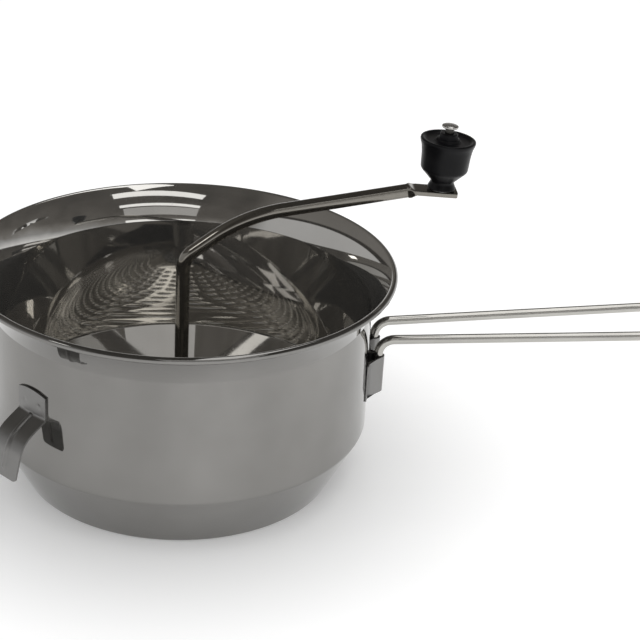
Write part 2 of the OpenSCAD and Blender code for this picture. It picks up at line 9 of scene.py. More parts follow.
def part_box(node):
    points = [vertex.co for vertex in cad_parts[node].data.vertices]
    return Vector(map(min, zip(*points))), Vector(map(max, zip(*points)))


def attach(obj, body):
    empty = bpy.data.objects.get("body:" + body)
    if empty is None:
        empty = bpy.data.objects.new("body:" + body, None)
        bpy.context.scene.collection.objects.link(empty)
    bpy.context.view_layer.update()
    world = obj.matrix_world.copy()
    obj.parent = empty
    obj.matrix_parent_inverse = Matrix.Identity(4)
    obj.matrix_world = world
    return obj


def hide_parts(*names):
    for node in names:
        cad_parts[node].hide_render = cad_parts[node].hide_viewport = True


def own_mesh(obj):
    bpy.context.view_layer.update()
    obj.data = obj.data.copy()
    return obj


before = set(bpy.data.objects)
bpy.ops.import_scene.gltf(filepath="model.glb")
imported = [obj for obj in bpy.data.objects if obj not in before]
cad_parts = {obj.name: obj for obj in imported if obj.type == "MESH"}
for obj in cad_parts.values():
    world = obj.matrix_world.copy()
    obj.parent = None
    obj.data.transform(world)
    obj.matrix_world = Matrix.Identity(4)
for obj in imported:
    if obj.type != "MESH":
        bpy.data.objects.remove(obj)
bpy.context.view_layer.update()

mm = 0.001
scene = bpy.context.scene
print("frame loaded:", len(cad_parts), "nodes")


# points and paths, in millimetres

def unit(angle):
    a = np.radians(angle)
    return np.stack([np.cos(a), np.sin(a)], -1)


def arc(centre, radius, start, end, steps):
    # points at equal angles on a circle
    return np.asarray(centre) + radius * unit(np.linspace(start, end, steps + 1))


def bezier(p, q, s, steps):
    # the quadratic curve (1-t)^2 p + 2t(1-t) q + t^2 s
    t = np.linspace(0, 1, steps + 1)[:, None]
    return (1 - t) ** 2 * np.asarray(p) + 2 * t * (1 - t) * np.asarray(q) + t ** 2 * np.asarray(s)


def cross2(u, v):
    return u[..., 0] * v[..., 1] - u[..., 1] * v[..., 0]


def meetLines(p, u, q, v):
    # where the line from p along u meets the line from q along v
    p, q = np.asarray(p), np.asarray(q)
    return p + u * cross2(q - p, v) / cross2(u, v)


def roundPath(points, radii, straightStep=4.0, bendSteps=14):
    # straight runs joined by arcs: each inner corner is cut where an arc of its radius touches both sides
    p = [np.asarray(q, float) for q in points]
    out = []
    for i, (corner, radius) in enumerate(zip(p, radii)):
        if i in (0, len(p) - 1):
            out.append(corner[None])
            continue
        u = (corner - p[i - 1]) / np.linalg.norm(corner - p[i - 1])
        v = (p[i + 1] - corner) / np.linalg.norm(p[i + 1] - corner)
        turn = math.acos(np.clip(u @ v, -1, 1))
        if turn < 1e-6 or radius <= 0:
            out.append(corner[None])
            continue
        centre = corner + (v - u) / np.linalg.norm(v - u) * radius / math.cos(turn / 2)
        e1 = (corner - u * radius * math.tan(turn / 2) - centre) / radius
        a = np.linspace(0, turn, bendSteps + 1)[:, None]
        out.append(centre + radius * (np.cos(a) * e1 + np.sin(a) * u))
    joined = [out[0]]
    for block in out[1:]:
        gap = np.linalg.norm(block[0] - joined[-1][-1])
        count = max(1, int(gap / straightStep))
        t = np.linspace(0, 1, count + 1)[1:-1, None]
        joined.append(joined[-1][-1] * (1 - t) + block[0] * t)
        joined.append(block)
    return np.concatenate([b for b in joined if len(b)])


def thicken(path, thickness):
    # a sheet's closed outline: the path, and its copy moved to the path's right, with eased ends
    d = np.diff(path, axis=0)
    d /= np.linalg.norm(d, axis=1, keepdims=True)
    before = np.concatenate([d[:1], d])
    after = np.concatenate([d, d[-1:]])
    m = np.stack([(before + after)[:, 1], -(before + after)[:, 0]], 1)
    other = path + thickness * 2 * m / (m * m).sum(1, keepdims=True)
    ease, easeShare = thickness * 0.22, 0.3
    ends = []
    for a, b, t in ((path[-1], other[-1], d[-1]), (other[0], path[0], -d[0])):
        side = (b - a) / np.linalg.norm(b - a)
        ends.append(np.array([a + side * ease * easeShare - t * ease * easeShare, a + side * ease,
                              b - side * ease, b - side * ease * easeShare - t * ease * easeShare]))
    return np.concatenate([path[1:-1], ends[0], other[::-1][1:-1], ends[1]])


# meshes

def makePiece(name, shape, body, material, sharp=40, cad=()):
    points, faces = shape
    mesh = bpy.data.meshes.new(name)
    mesh.from_pydata((np.asarray(points) * mm).tolist(), [], [list(map(int, f)) for f in faces])
    shell = bmesh.new()
    shell.from_mesh(mesh)
    bmesh.ops.remove_doubles(shell, verts=shell.verts, dist=2e-7)
    bmesh.ops.recalc_face_normals(shell, faces=shell.faces)
    shell.to_mesh(mesh)
    shell.free()
    mesh.shade_smooth()
    mesh.set_sharp_from_angle(angle=math.radians(sharp))
    piece = bpy.data.objects.new(name, mesh)
    scene.collection.objects.link(piece)
    mesh.materials.append(material)
    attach(piece, body)
    if cad:
        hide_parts(*cad)
    return piece


def gridFaces(rows, columns, wrapRows, wrapColumns):
    i = np.arange(rows if wrapRows else rows - 1)
    j = np.arange(columns if wrapColumns else columns - 1)
    i, j = np.meshgrid(i, j, indexing="ij")
    ni, nj = (i + 1) % rows, (j + 1) % columns
    quads = [i * columns + j, ni * columns + j, ni * columns + nj, i * columns + nj]
    return np.stack(quads, -1).reshape(-1, 4)


def closeTube(grid):
    # rows of points round a tube, with a face over each end
    rows, sides = grid.shape[:2]
    faces = gridFaces(rows, sides, False, True).tolist()
    faces += [list(range(sides)), list(range((rows - 1) * sides, rows * sides))]
    return grid.reshape(-1, 3), faces


def spin(outline, count):
    # the outline (radius, height) carried round Z: x = r cos a, y = r sin a
    a = np.linspace(0, 2 * math.pi, count, endpoint=False)[:, None]
    r, z = outline[:, 0][None], outline[:, 1][None]
    return np.stack([r * np.cos(a), r * np.sin(a), np.broadcast_to(z, (count, len(outline)))], -1)


def revolve(outline, count):
    # a closed outline makes a closed ring
    return spin(outline, count).reshape(-1, 3), gridFaces(count, len(outline), True, True)


def frames(path, up):
    # each point's two cross directions, carried along the path without twist
    t = np.gradient(path, axis=0)
    t /= np.linalg.norm(t, axis=1, keepdims=True)
    n = np.empty_like(path)
    n[0] = up - np.dot(up, t[0]) * t[0]
    n[0] /= np.linalg.norm(n[0])
    for i in range(1, len(path)):
        n[i] = n[i - 1] - (n[i - 1] @ t[i]) * t[i]
        n[i] /= np.linalg.norm(n[i])
    return n, np.cross(t, n)


def sweep(path, section, up):
    # section gives two cross offsets for each path point: point = path + s0 * n + s1 * b
    n, b = frames(path, up)
    return closeTube(path[:, None] + section[..., :1] * n[:, None] + section[..., 1:] * b[:, None])


def roundSection(radius, rows, sides):
    # one circle for each row of a sweep
    a = np.linspace(0, 2 * math.pi, sides, endpoint=False)
    return np.full((rows, 1, 1), radius) * np.stack([np.cos(a), np.sin(a)], -1)[None]


def join(*parts):
    points, faces, start = [], [], 0
    for p, f in parts:
        points.append(np.asarray(p))
        faces += [[int(v) + start for v in face] for face in f]
        start += len(p)
    return np.concatenate(points), faces


def closeSheet(lower, upper):
    # two skins on one grid of points, joined round their four edges
    rows, columns = lower.shape[:2]
    count = rows * columns
    inner = gridFaces(rows, columns, False, False)
    rim = np.concatenate([np.arange(columns), np.arange(1, rows) * columns + columns - 1,
                          (rows - 1) * columns + np.arange(columns - 2, -1, -1),
                          np.arange(rows - 2, 0, -1) * columns])
    nextRim = np.roll(rim, -1)
    wall = np.stack([rim, nextRim, nextRim + count, rim + count], -1)
    faces = inner[:, ::-1].tolist() + (inner + count).tolist() + wall.tolist()
    return np.concatenate([lower.reshape(-1, 3), upper.reshape(-1, 3)]), faces


def turned(points, degrees):
    c, s = math.cos(math.radians(degrees)), math.sin(math.radians(degrees))
    p = np.asarray(points)
    return np.stack([p[:, 0] * c - p[:, 1] * s, p[:, 0] * s + p[:, 1] * c, p[:, 2]], 1)


# shader groups and materials

def newGroup(name, inputs, outputs):
    tree = bpy.data.node_groups.new(name, "ShaderNodeTree")
    for label, value in inputs.items():
        item = tree.interface.new_socket(label, in_out="INPUT", socket_type="NodeSocketFloat")
        item.default_value = value
    for label in outputs:
        tree.interface.new_socket(label, in_out="OUTPUT", socket_type="NodeSocketFloat")
    return tree, tree.nodes.new("NodeGroupInput"), tree.nodes.new("NodeGroupOutput")


def mathNode(tree, operation, a, b=None, c=None, clamp=False):
    node = tree.nodes.new("ShaderNodeMath")
    node.operation = operation
    node.use_clamp = clamp
    for socket, value in zip(node.inputs, (a, b, c)):
        if value is None:
            continue
        if isinstance(value, (int, float)):
            socket.default_value = value
        else:
            tree.links.new(value, socket)
    return node.outputs[0]


def noiseNode(tree, vector, scale, detail=3.0, rough=0.5):
    node = tree.nodes.new("ShaderNodeTexNoise")
    node.inputs["Detail"].default_value = detail
    node.inputs["Roughness"].default_value = rough
    tree.links.new(vector, node.inputs["Vector"])
    if isinstance(scale, (int, float)):
        node.inputs["Scale"].default_value = scale
    else:
        tree.links.new(scale, node.inputs["Scale"])
    return node.outputs["Fac"]


def objectSpace(tree):
    return tree.nodes.new("ShaderNodeTexCoord").outputs["Object"]


def vectorNode(tree, operation, vector):
    node = tree.nodes.new("ShaderNodeVectorMath")
    node.operation = operation
    tree.links.new(vector, node.inputs[0])
    return node


def splitVector(tree, vector):
    node = tree.nodes.new("ShaderNodeSeparateXYZ")
    tree.links.new(vector, node.inputs[0])
    return node.outputs


def mixNode(tree, low, high):
    node = tree.nodes.new("ShaderNodeMix")
    node.data_type = "RGBA"
    node.inputs["A"].default_value = (*low, 1)
    node.inputs["B"].default_value = (*high, 1)
    return node


def addBump(tree, shader, height, distance):
    bump = tree.nodes.new("ShaderNodeBump")
    bump.inputs["Distance"].default_value = distance
    tree.links.new(height, bump.inputs["Height"])
    tree.links.new(bump.outputs[0], shader.inputs["Normal"])


def newMaterial(name):
    material = bpy.data.materials.new(name)
    material.use_nodes = True
    return material, material.node_tree, material.node_tree.nodes["Principled BSDF"]


spunLook = {"roundShare": 0.0012, "scuffScale": 1400.0, "scuffStretch": (1.0, 1.0, 0.06),
            "scuffTurn": (0.5, 0.2, 0.9), "scuffFrom": 0.66, "scuffGain": 6.0}


def makeSpunGroup():
    # fine rings left by spinning: noise over height and radius, almost constant round the axis
    s = spunLook
    tree, gin, gout = newGroup("spunLines", {"Scale": 900.0, "Haze": 30.0}, ["Lines", "Haze", "Scuffs"])
    space = objectSpace(tree)
    x, y, z = splitVector(tree, space)
    radius = mathNode(tree, "SQRT", mathNode(tree, "ADD", mathNode(tree, "MULTIPLY", x, x),
                                             mathNode(tree, "MULTIPLY", y, y)))
    angle = mathNode(tree, "MULTIPLY", mathNode(tree, "ARCTAN2", y, x), s["roundShare"])
    lineSpace = tree.nodes.new("ShaderNodeCombineXYZ")
    tree.links.new(radius, lineSpace.inputs[0])
    tree.links.new(z, lineSpace.inputs[1])
    tree.links.new(angle, lineSpace.inputs[2])
    lines = noiseNode(tree, lineSpace.outputs[0], gin.outputs["Scale"], detail=4.0, rough=0.6)
    haze = noiseNode(tree, space, gin.outputs["Haze"], detail=4.0, rough=0.55)
    stretched = tree.nodes.new("ShaderNodeMapping")
    stretched.inputs["Scale"].default_value = s["scuffStretch"]
    stretched.inputs["Rotation"].default_value = s["scuffTurn"]
    tree.links.new(space, stretched.inputs["Vector"])
    fine = noiseNode(tree, stretched.outputs[0], s["scuffScale"], detail=1.0)
    peaks = mathNode(tree, "SUBTRACT", fine, s["scuffFrom"], clamp=True)
    scuffs = mathNode(tree, "MULTIPLY", peaks, s["scuffGain"], clamp=True)
    tree.links.new(lines, gout.inputs["Lines"])
    tree.links.new(haze, gout.inputs["Haze"])
    tree.links.new(scuffs, gout.inputs["Scuffs"])
    return tree


spunLines = makeSpunGroup()


def insideMask(tree):
    # 1 where a surface faces the Z axis and 0 where it faces away: the normal against the radius
    coords = tree.nodes.new("ShaderNodeTexCoord")
    product = vectorNode(tree, "MULTIPLY", coords.outputs["Object"])
    tree.links.new(coords.outputs["Normal"], product.inputs[1])
    parts = splitVector(tree, product.outputs[0])
    outward = mathNode(tree, "ADD", parts["X"], parts["Y"])
    return mathNode(tree, "MULTIPLY_ADD", outward, -30.0, 0.5, clamp=True)


steelLook = {"metallic": 0.94, "scuffRough": 0.12}


def makeSteel(name, dark, light, rough, roughSpread, lineHeight, lineScale=900.0, inner=1.0):
    # colour from the haze, roughness from haze and scuffs, and a bump from the lines;
    # inner is painted light: on the side that faces the axis the colour is painted this many times brighter
    material, tree, shader = newMaterial(name)
    shader.inputs["Metallic"].default_value = steelLook["metallic"]
    group = tree.nodes.new("ShaderNodeGroup")
    group.node_tree = spunLines
    group.inputs["Scale"].default_value = lineScale
    mix = mixNode(tree, dark, light)
    tree.links.new(group.outputs["Haze"], mix.inputs["Factor"])
    colour = mix.outputs["Result"]
    # painted light: the colour is scaled up where the surface faces the axis
    if inner != 1.0:
        lift = vectorNode(tree, "SCALE", colour)
        gain = mathNode(tree, "MULTIPLY_ADD", insideMask(tree), inner - 1, 1.0)
        tree.links.new(gain, lift.inputs["Scale"])
        colour = lift.outputs[0]
    tree.links.new(colour, shader.inputs["Base Color"])
    spread = mathNode(tree, "MULTIPLY", group.outputs["Haze"], roughSpread)
    marks = mathNode(tree, "MULTIPLY", group.outputs["Scuffs"], steelLook["scuffRough"])
    total = mathNode(tree, "ADD", mathNode(tree, "ADD", spread, marks), rough)
    tree.links.new(total, shader.inputs["Roughness"])
    addBump(tree, shader, group.outputs["Lines"], lineHeight)
    return material


plasticLook = {"specular": 0.16, "hazeScale": 160.0, "grainScale": 1500.0, "darkShare": 0.75,
               "lightShare": 1.5, "hazeRough": 0.22, "grainHeight": 3e-5}


def makePlastic(name, colour, rough):
    # moulded plastic: a fine grain in the bump, and handling haze in the roughness
    s = plasticLook
    material, tree, shader = newMaterial(name)
    shader.inputs["Specular IOR Level"].default_value = s["specular"]
    space = objectSpace(tree)
    cloud = noiseNode(tree, space, s["hazeScale"], detail=4.0, rough=0.6)
    grain = noiseNode(tree, space, s["grainScale"], detail=2.0)
    mix = mixNode(tree, *[[c * s[share] for c in colour] for share in ("darkShare", "lightShare")])
    tree.links.new(cloud, mix.inputs["Factor"])
    tree.links.new(mix.outputs["Result"], shader.inputs["Base Color"])
    total = mathNode(tree, "ADD", mathNode(tree, "MULTIPLY", cloud, s["hazeRough"]), rough)
    tree.links.new(total, shader.inputs["Roughness"])
    addBump(tree, shader, grain, s["grainHeight"])
    return material


# the bowl's inside is painted 2.3 times brighter than its outside: painted light for the light that bounces
# inside it
polished = makeSteel("polishedSteel", (0.205, 0.2, 0.19), (0.26, 0.255, 0.245), 0.02, 0.03, 4e-7, 700.0,
                     inner=2.3)
satin = makeSteel("satinSteel", (0.19, 0.188, 0.184), (0.27, 0.266, 0.258), 0.3, 0.1, 1e-6, 1200.0)
perforated = makeSteel("strainerSteel", (0.5, 0.48, 0.44), (0.62, 0.59, 0.53), 0.06, 0.08, 1e-6)
bladeSteel = makeSteel("bladeSteel", (0.45, 0.44, 0.43), (0.56, 0.55, 0.53), 0.04, 0.06, 1e-6)
brightRod = makeSteel("brightRod", (0.36, 0.35, 0.33), (0.5, 0.49, 0.46), 0.04, 0.06, 1e-6, 1600.0)
# painted shade: a darker copy of the rod steel for the crank, standing in for the dark surroundings it
# reflects
shadedRod = makeSteel("shadedRod", (0.17, 0.16, 0.14), (0.27, 0.255, 0.23), 0.05, 0.07, 1e-6, 1600.0)
turnedSteel = makeSteel("turnedSteel", (0.45, 0.44, 0.42), (0.6, 0.59, 0.57), 0.2, 0.12, 3e-6, 1400.0)
platedSteel = makeSteel("platedSteel", (0.36, 0.37, 0.38), (0.5, 0.5, 0.5), 0.26, 0.16, 2e-6)
springSteel = makeSteel("springSteel", (0.22, 0.215, 0.2), (0.32, 0.31, 0.29), 0.22, 0.14, 1e-6)
# painted shade: a nearly black steel for the pin's bare shank under the knob's head
paintedShadeSteel = makeSteel("paintedShadeSteel", (0.03, 0.029, 0.027), (0.08, 0.077, 0.07), 0.16, 0.1, 2e-6)
blackPlastic = makePlastic("blackPlastic", (0.0032, 0.0032, 0.0038), 0.24)
print("materials made")


# bowl

bowlShape = {"beadRadius": 2.0, "beadTurn": 280, "neckRadius": 109.0, "collarHeight": 18.8, "bow": 10,
             "crease": 1.5, "shoulderRadius": 110.0, "shoulderHeight": 35.7, "shoulderBend": 5.0,
             "footRadius": 93.25, "footBend": 2.4, "hemWidth": 6.0, "hemStop": 0.4, "sheet": 0.7,
             "footSteps": 8, "shoulderSteps": 12, "creaseSteps": 8, "collarSteps": 20, "beadSteps": 40,
             "segments": 384}
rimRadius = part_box("bowl")[1].x / mm
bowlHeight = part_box("bowl")[1].z / mm
neckHeight = bowlHeight - bowlShape["beadRadius"] - bowlShape["collarHeight"]


def wallRadius(z):
    s = bowlShape
    share = (z - s["shoulderHeight"]) / (neckHeight - s["shoulderHeight"])
    return s["shoulderRadius"] + (s["neckRadius"] - s["shoulderRadius"]) * share


def bowlOutline():
    s = bowlShape
    sheet = s["sheet"]
    wallRise = neckHeight - s["shoulderHeight"]
    lean = math.degrees(math.atan((s["shoulderRadius"] - s["neckRadius"]) / wallRise))
    foot = np.array([s["footRadius"] - s["footBend"], s["footBend"]])
    shoulder = np.array([s["shoulderRadius"] - s["shoulderBend"], s["shoulderHeight"]])
    gap = shoulder - foot
    # the direction square to the outer tangent of the two bends
    skirt = math.degrees(math.atan2(gap[1], gap[0])
                         - math.acos((s["footBend"] - s["shoulderBend"]) / np.linalg.norm(gap)))
    neck = np.array([s["neckRadius"] - sheet, neckHeight])
    bead = np.array([rimRadius - s["beadRadius"], bowlHeight - s["beadRadius"]])
    collar = math.degrees(math.atan((bead[0] - s["beadRadius"] - neck[0]) / s["collarHeight"]))
    topLean = collar + s["bow"]
    top = bead + s["beadRadius"] * unit(180 - topLean)
    mid = meetLines(neck, unit(90 - collar + s["bow"]), top, unit(90 - topLean))
    wallLow = shoulder + (s["shoulderBend"] - sheet) * unit(lean)
    crease = roundPath([(*wallLow, 0), (*neck, 0), (*mid, 0)], [0, s["crease"], 0], straightStep=6.0,
                       bendSteps=s["creaseSteps"])[1:-1, :2]
    creaseEnd = crease[np.linalg.norm(crease - neck, axis=1) < 2 * s["crease"]][-1]
    crease = crease[:int(np.argmin(np.linalg.norm(crease - creaseEnd, axis=1)))]
    path = np.concatenate([[[foot[0] - s["hemWidth"], sheet]], [[foot[0] - s["hemStop"], sheet]],
                           arc(foot, s["footBend"] - sheet, -90, skirt, s["footSteps"]),
                           arc(shoulder, s["shoulderBend"] - sheet, skirt, lean, s["shoulderSteps"]),
                           crease, bezier(creaseEnd, mid, top, s["collarSteps"]),
                           arc(bead, s["beadRadius"], 179 - topLean, 180 - topLean - s["beadTurn"],
                               s["beadSteps"])])
    return thicken(path, sheet)


makePiece("drawnBowl", revolve(bowlOutline(), bowlShape["segments"]), "bowl_body",
          polished, 50, ["bowl"])
print("bowl made")


# strainer

strainerShape = {"sheet": 0.8, "hubHeight": 30.0, "landRadius": 14.0, "flangeWidth": 6.6, "boreRadius": 6.25,
                 "pitch": 3.8, "holeRadius": 0.9, "lip": 0.45, "lipDrop": 0.3, "lipBend": 0.4, "margin": 4.0,
                 "gap": 0.05, "land": 0.3, "sides": 12, "hubSides": 96, "edgeSides": 256}


def coneData():
    s, b = strainerShape, bowlShape
    outer = b["footRadius"] - b["footBend"] - s["gap"]
    cone = outer - s["flangeWidth"]
    low = b["sheet"] + s["sheet"]
    slope = (s["hubHeight"] - low) / (cone - s["landRadius"])
    return outer, cone, slope


def coneHeight(r):
    _, cone, slope = coneData()
    land = strainerShape["landRadius"]
    return strainerShape["hubHeight"] - np.clip(np.asarray(r, float) - land, 0, cone - land) * slope


def zipRings(first, firstAngles, second, secondAngles):
    # triangles between two rings of points with unlike counts, advanced in order of angle
    a, b = len(firstAngles), len(secondAngles)
    nextFirst = np.append(firstAngles[1:], firstAngles[0] + 2 * math.pi)
    nextSecond = np.append(secondAngles[1:], secondAngles[0] + 2 * math.pi)
    order = np.argsort(np.concatenate([nextFirst, nextSecond]), kind="stable")
    isFirst = order < a
    i = np.cumsum(isFirst) - isFirst
    j = np.cumsum(~isFirst) - ~isFirst
    third = np.where(isFirst, first + (i + 1) % a, second + (j + 1) % b)
    return np.stack([first + i % a, second + j % b, third], -1)


def strainerMesh():
    # rings of cells, each a square frame of points round a hole with a pressed-in lip,
    # joined by narrow plain rings
    s = strainerShape
    outer, cone, slope = coneData()
    start, end = s["landRadius"] + s["margin"], cone - s["margin"]
    along = math.sqrt(1 + slope * slope)
    rows = int((end - start) / (s["pitch"] / along))
    edges = np.linspace(start, end, rows + 1)
    half = s["land"] / 2
    sides = s["sides"]
    perSide = sides // 4
    pointBlocks, sheetFaces, wallFaces, total = [], [], [], 0

    def addPoints(radius, angle, drop=0.0):
        nonlocal total
        radius, angle = np.broadcast_arrays(radius, angle)
        block = np.stack([radius * np.cos(angle), radius * np.sin(angle), coneHeight(radius) - drop], -1)
        pointBlocks.append(block.reshape(-1, 3))
        total += radius.size
        return total - radius.size

    def addRing(radius, count, shift=0.0):
        angles = (np.arange(count) + shift) * 2 * math.pi / count
        return addPoints(radius, angles), angles

    def bridge(a, b):
        sheetFaces.append(zipRings(*a, *b))

    inner = addRing(s["boreRadius"], s["hubSides"])
    previous = addRing(s["landRadius"], s["hubSides"])
    bridge(inner, previous)
    for i in range(rows):
        lowR, highR = edges[i] + half, edges[i + 1] - half
        centreR = (lowR + highR) / 2
        count = int(2 * math.pi * centreR / s["pitch"])
        shift = 0.5 * (i % 2)
        lower = addRing(lowR, perSide * count, perSide * shift)
        bridge(previous, lower)
        upper = addRing(highR, perSide * count, perSide * shift)
        k = np.arange(count)
        first = (k + shift) * 2 * math.pi / count
        rungs = [addPoints(lowR + (highR - lowR) * t / perSide, first) for t in range(1, perSide)]
        # hole points begin at the cell's first corner, and turn from there towards the outer ring
        a = np.radians(np.arange(sides) * 360 / sides - 135)
        rings = []
        for outward, drop in ((1.0, 0.0), (s["lipBend"], s["lipBend"]), (0.0, 1.0)):
            radius = s["holeRadius"] + s["lip"] * outward
            across = centreR + radius * np.cos(a)[None] / along
            turn = (first + math.pi / count)[:, None] + radius * np.sin(a)[None] / centreR
            hole = addPoints(across, turn, s["lipDrop"] * drop)
            rings.append(hole + sides * k[:, None] + np.arange(sides)[None])
        following = (k + 1) % count
        edge = perSide * k[:, None] + np.arange(perSide + 1)
        cell = np.concatenate([lower[0] + edge[:, :1]] + [(r + k)[:, None] for r in rungs]
                              + [upper[0] + edge % (perSide * count)]
                              + [(r + following)[:, None] for r in rungs[::-1]]
                              + [lower[0] + edge[:, :0:-1] % (perSide * count)], 1)
        for outside, inside in zip([cell] + rings[:-1], rings):
            quad = np.stack([outside, np.roll(outside, -1, 1), np.roll(inside, -1, 1), inside], -1)
            sheetFaces.append(quad.reshape(-1, 4))
        wallFaces.append(rings[-1])
        previous = upper
    for radius in (cone, outer):
        ring = addRing(radius, s["edgeSides"])
        bridge(previous, ring)
        previous = ring
    top = np.concatenate(pointBlocks)
    radius = np.hypot(top[:, 0], top[:, 1])
    tiny = 0.01
    sloping = (radius > s["landRadius"] + tiny) & (radius < cone - tiny)
    bottom = top - np.array([0, 0, 1]) * (s["sheet"] * np.where(sloping, along, 1))[:, None]
    faces = []
    for block in sheetFaces:
        faces += block.tolist()
        faces += (block[:, ::-1] + total).tolist()
    wallFaces.append(inner[0] + np.arange(s["hubSides"])[None])
    wallFaces.append(previous[0] + np.arange(s["edgeSides"])[None])
    for ring in wallFaces:
        n = np.roll(ring, -1, 1)
        faces += np.stack([ring, n, n + total, ring + total], -1).reshape(-1, 4).tolist()
    return np.concatenate([top, bottom]), faces


strainer = makePiece("strainerCone", strainerMesh(), "bowl_body", perforated, 30,
                     ["strainer"])
print("strainer made:", len(strainer.data.polygons), "faces")


# crank rod, with its thread and its flattened end

crankShape = {"radius": 3.97, "elbowHeight": 129.5, "elbowRadius": 14.0, "second": (34.8, 156.6),
              "secondRadius": 90.0, "armEnd": (124.82, 174.1), "throw": 144.0, "eyeHeight": 175.6,
              "lean": 3.0, "eyeWidth": 13.0, "eyeThick": 2.8, "eyeLength": 14.0, "eyeTip": 9.0,
              "eyeCorner": 1.6, "flatPower": 10.0, "journalEnd": 22.5, "bendSteps": 28, "swageSteps": 9,
              "flatSteps": 10, "cornerSteps": 9, "sides": 48}
threadShape = {"radius": 3.175, "tip": 3.5, "pitch": 1.27, "depth": 0.55, "fade": 0.8, "chamfer": 0.7,
               "chamferDepth": 0.5, "rows": 190, "sides": 32}


def onEye(x, z):
    # x runs along the flattened end from the pin's axis, and z stands square on its top face
    s = crankShape
    c, n = math.cos(math.radians(s["lean"])), math.sin(math.radians(s["lean"]))
    return s["throw"] + x * c + z * n, s["eyeHeight"] - x * n + z * c


def rodMesh():
    # a round section that goes over into a flat one: |u/w|^p + |v/h|^p = 1, with p growing from 2
    s = crankShape
    cornerSteps = s["cornerSteps"]
    eyeMid = s["eyeThick"] / 2
    startX, startZ = onEye(-s["eyeLength"], -eyeMid)
    endX, endZ = onEye(s["eyeTip"], -eyeMid)
    base = roundPath([(0, 0, s["journalEnd"]), (0, 0, s["elbowHeight"]),
                      (s["second"][0], 0, s["second"][1]), (s["armEnd"][0], 0, s["armEnd"][1])],
                     [0, s["elbowRadius"], s["secondRadius"], 0],
                     straightStep=3.0, bendSteps=s["bendSteps"])
    swage = np.array([(s["armEnd"][0], s["armEnd"][1]), (startX, startZ)])
    t = np.linspace(0, 1, s["swageSteps"] + 1)[1:, None]
    swage = swage[0] + (swage[1] - swage[0]) * t
    swage = np.stack([swage[:, 0], np.zeros(len(t)), swage[:, 1]], 1)
    long = s["eyeLength"] + s["eyeTip"]
    a = np.linspace(0, math.pi / 2, cornerSteps)
    share = np.concatenate([np.linspace(0, 1 - s["eyeCorner"] / long, s["flatSteps"] + 2)[1:-1],
                            1 - (1 - np.sin(a)) * s["eyeCorner"] / long])
    count = len(share)
    corner = np.concatenate([np.zeros(count - cornerSteps), s["eyeCorner"] * (1 - np.cos(a))])
    flat = np.stack([startX + (endX - startX) * share, np.zeros(count), startZ + (endZ - startZ) * share], 1)
    path = np.concatenate([base, swage, flat])
    width = np.concatenate([np.full(len(base), s["radius"]),
                            s["radius"] + (s["eyeWidth"] / 2 - s["radius"]) * np.sin(t[:, 0] * math.pi / 2),
                            s["eyeWidth"] / 2 - corner])
    height = np.concatenate([np.full(len(base), s["radius"]),
                             s["radius"] + (eyeMid - s["radius"]) * (0.5 - 0.5 * np.cos(t[:, 0] * math.pi)),
                             np.full(count, eyeMid)])
    power = np.concatenate([np.full(len(base), 2.0), 2 + (s["flatPower"] - 2) * t[:, 0],
                            np.full(count, s["flatPower"])])
    a = np.linspace(0, 2 * math.pi, s["sides"], endpoint=False)
    c, n = np.cos(a)[None], np.sin(a)[None]
    p = 2 / power[:, None]
    section = np.stack([height[:, None] * np.sign(c) * np.abs(c) ** p,
                        width[:, None] * np.sign(n) * np.abs(n) ** p], -1)
    return sweep(path, section, (-1, 0, 0))


def threadMesh():
    # radius falls by a triangle wave of height and turn, which fades out at both ends of the thread
    s = threadShape
    end = crankShape["journalEnd"]
    z = np.linspace(s["tip"], end, s["rows"])
    turn = np.linspace(0, 1, s["sides"], endpoint=False)
    wave = np.abs(((z[:, None] / s["pitch"] - turn[None]) % 1) * 2 - 1)
    fade = np.clip(np.minimum(z - s["tip"], end - z) / s["fade"], 0, 1)[:, None]
    taper = np.clip((z - s["tip"]) / s["chamfer"], 0, 1)[:, None] * s["chamferDepth"] - s["chamferDepth"]
    r = s["radius"] - s["depth"] * wave * fade + taper
    a = turn * 2 * math.pi
    return closeTube(np.stack([r * np.cos(a), r * np.sin(a), np.broadcast_to(z[:, None], r.shape)], -1))


makePiece("bentCrank", join(rodMesh(), threadMesh()), "crank_body", shadedRod, 38, ["crank_rod"])
print("crank made")


# blade

bladeShape = {"thick": 1.2, "gap": 0.4, "low": 125.0, "span": 180.0, "rise": 26.0, "flat": 0.08,
              "radius": 83.0, "inner": 5.72, "bushTop": 31.2, "bushRadius": 11.4, "steps": 120,
              "radialSteps": 39}


def bladeMesh():
    # height = the cone's height + rise * share of the span past the flat part, and the sheet's thickness
    s = bladeShape
    land = strainerShape["landRadius"]
    slopeRadii = np.linspace(land, s["radius"], s["radialSteps"] + 1)
    radii = np.concatenate([[s["inner"], s["bushRadius"]], slopeRadii])
    share = np.linspace(0, 1, s["steps"] + 1)
    below = np.where(radii < land, s["bushTop"], coneHeight(radii))
    climb = s["rise"] * np.clip(share - s["flat"], 0, None) / (1 - s["flat"])
    a = np.radians(s["low"] + s["span"] * share)[:, None]
    sheets = []
    for up in (0.0, s["thick"]):
        z = below[None] + s["gap"] + climb[:, None] + up
        sheets.append(np.stack([radii[None] * np.cos(a), radii[None] * np.sin(a), z], -1))
    return closeSheet(*sheets)


makePiece("pusherRamp", bladeMesh(), "crank_body", bladeSteel, 50, ["pusher_blade"])
print("blade made")


# knob and its pin

